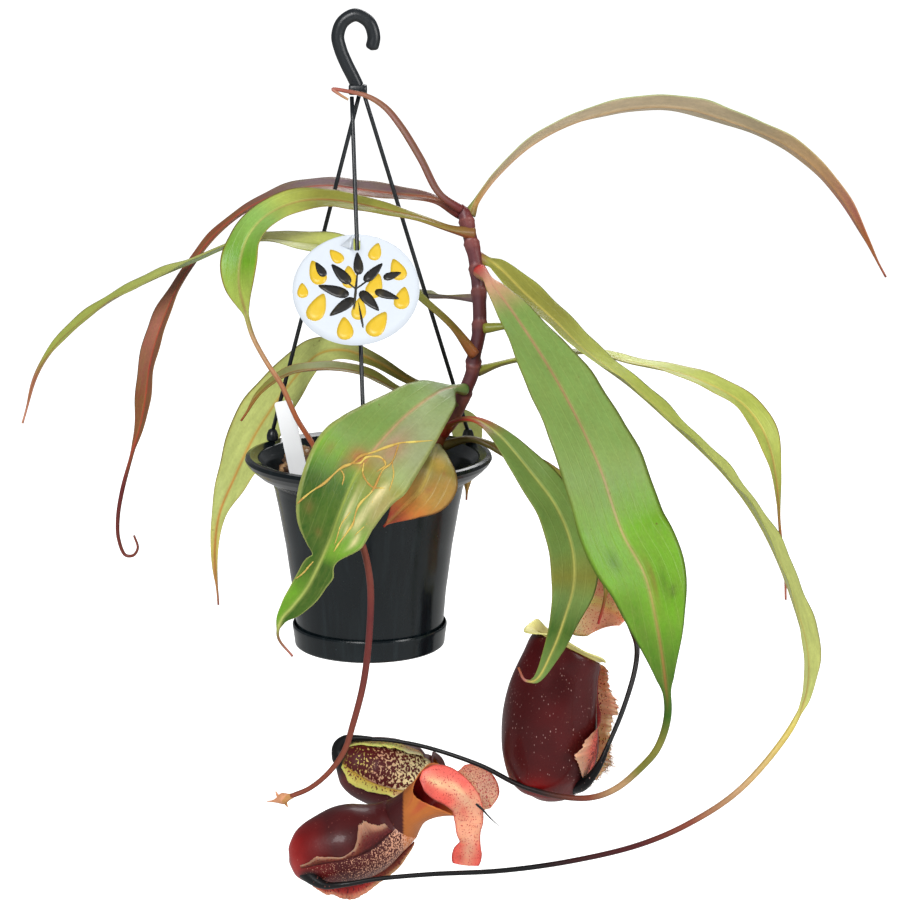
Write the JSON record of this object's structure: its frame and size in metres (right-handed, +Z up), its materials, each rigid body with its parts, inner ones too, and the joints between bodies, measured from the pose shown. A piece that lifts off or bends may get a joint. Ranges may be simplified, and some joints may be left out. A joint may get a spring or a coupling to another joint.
{
  "type": "hanging pitcher plant",
  "caption": "Tropical pitcher plant in a round hanging pot with hook hanger: long strap leaves on a short vine, tendrils carrying hollow lidded pitchers.",
  "frame": {"origin": "inside top of the hanger hook, the line on which the whole plant hangs", "axes": "+Z up, +X to the right of a viewer who faces the round tag, +Y away from that viewer"},
  "size_m": [0.5282, 0.2399, 0.5302],
  "materials": {
    "black_plastic": "gloss",
    "hanger_plastic": "satin",
    "bark_mix": "matte",
    "tag_card": "satin",
    "stake_plastic": "satin",
    "stem_bark": "satin",
    "cup_maroon": "gloss",
    "cup_red": "gloss",
    "collar_yellow": "satin",
    "collar_orange": "satin",
    "wing_salmon": "satin",
    "lid_salmon": "satin",
    "lid_red": "satin",
    "tendril_dark": "satin",
    "bud_tan": "matte",
    "leaf_redbrown": "satin",
    "leaf_olive_brown": "satin",
    "leaf_yellow_green": "satin",
    "leaf_pale": "satin",
    "leaf_green": "satin",
    "leaf_old_yellow": "satin",
    "leaf_dark_green": "satin"
  },
  "bodies": {
    "root": {"hanger_hook": "hanger_plastic", "strand_front": "hanger_plastic", "strand_left": "hanger_plastic", "strand_right": "hanger_plastic", "pot": "black_plastic", "saucer": "black_plastic", "soil": "bark_mix", "round_tag": "tag_card", "stake_label": "stake_plastic", "stem": "stem_bark", "leaf_01_rolled_young": "leaf_redbrown", "leaf_02_right_arch": "leaf_olive_brown", "leaf_03_left_red": "leaf_redbrown", "leaf_04_left_green": "leaf_yellow_green", "tendril_04": "tendril_dark", "leaf_05_left_pale": "leaf_yellow_green", "leaf_06_back_left": "leaf_pale", "leaf_07_olive_arch": "leaf_olive_brown", "leaf_08_back_short": "leaf_yellow_green", "leaf_09_front_scarred": "leaf_green", "leaf_10_old_yellow": "leaf_old_yellow", "leaf_11_right_front": "leaf_green", "tendril_11": "tendril_dark", "leaf_12_far_right": "leaf_yellow_green", "tendril_12": "tendril_dark", "leaf_13_right_hanging": "leaf_yellow_green", "leaf_14_lower_right": "leaf_dark_green", "leaf_15_behind_pot": "leaf_pale", "leaf_16_behind_front": "leaf_yellow_green", "leaf_17_low_right": "leaf_olive_brown", "tendril_17": "tendril_dark", "pitcher_1_cup": "cup_maroon", "pitcher_1_collar": "collar_yellow", "pitcher_1_wing_left": "wing_salmon", "pitcher_1_wing_right": "wing_salmon", "pitcher_1_lid": "lid_salmon", "pitcher_2_cup": "cup_maroon", "pitcher_2_collar": "collar_yellow", "pitcher_2_wing_left": "wing_salmon", "pitcher_2_wing_right": "wing_salmon", "pitcher_2_lid": "lid_salmon", "pitcher_3_cup": "cup_red", "pitcher_3_collar": "collar_orange", "pitcher_3_wing_left": "wing_salmon", "pitcher_3_wing_right": "wing_salmon", "pitcher_3_lid": "lid_red", "tendril_bud": "bud_tan"}
  },
  "joints": []
}
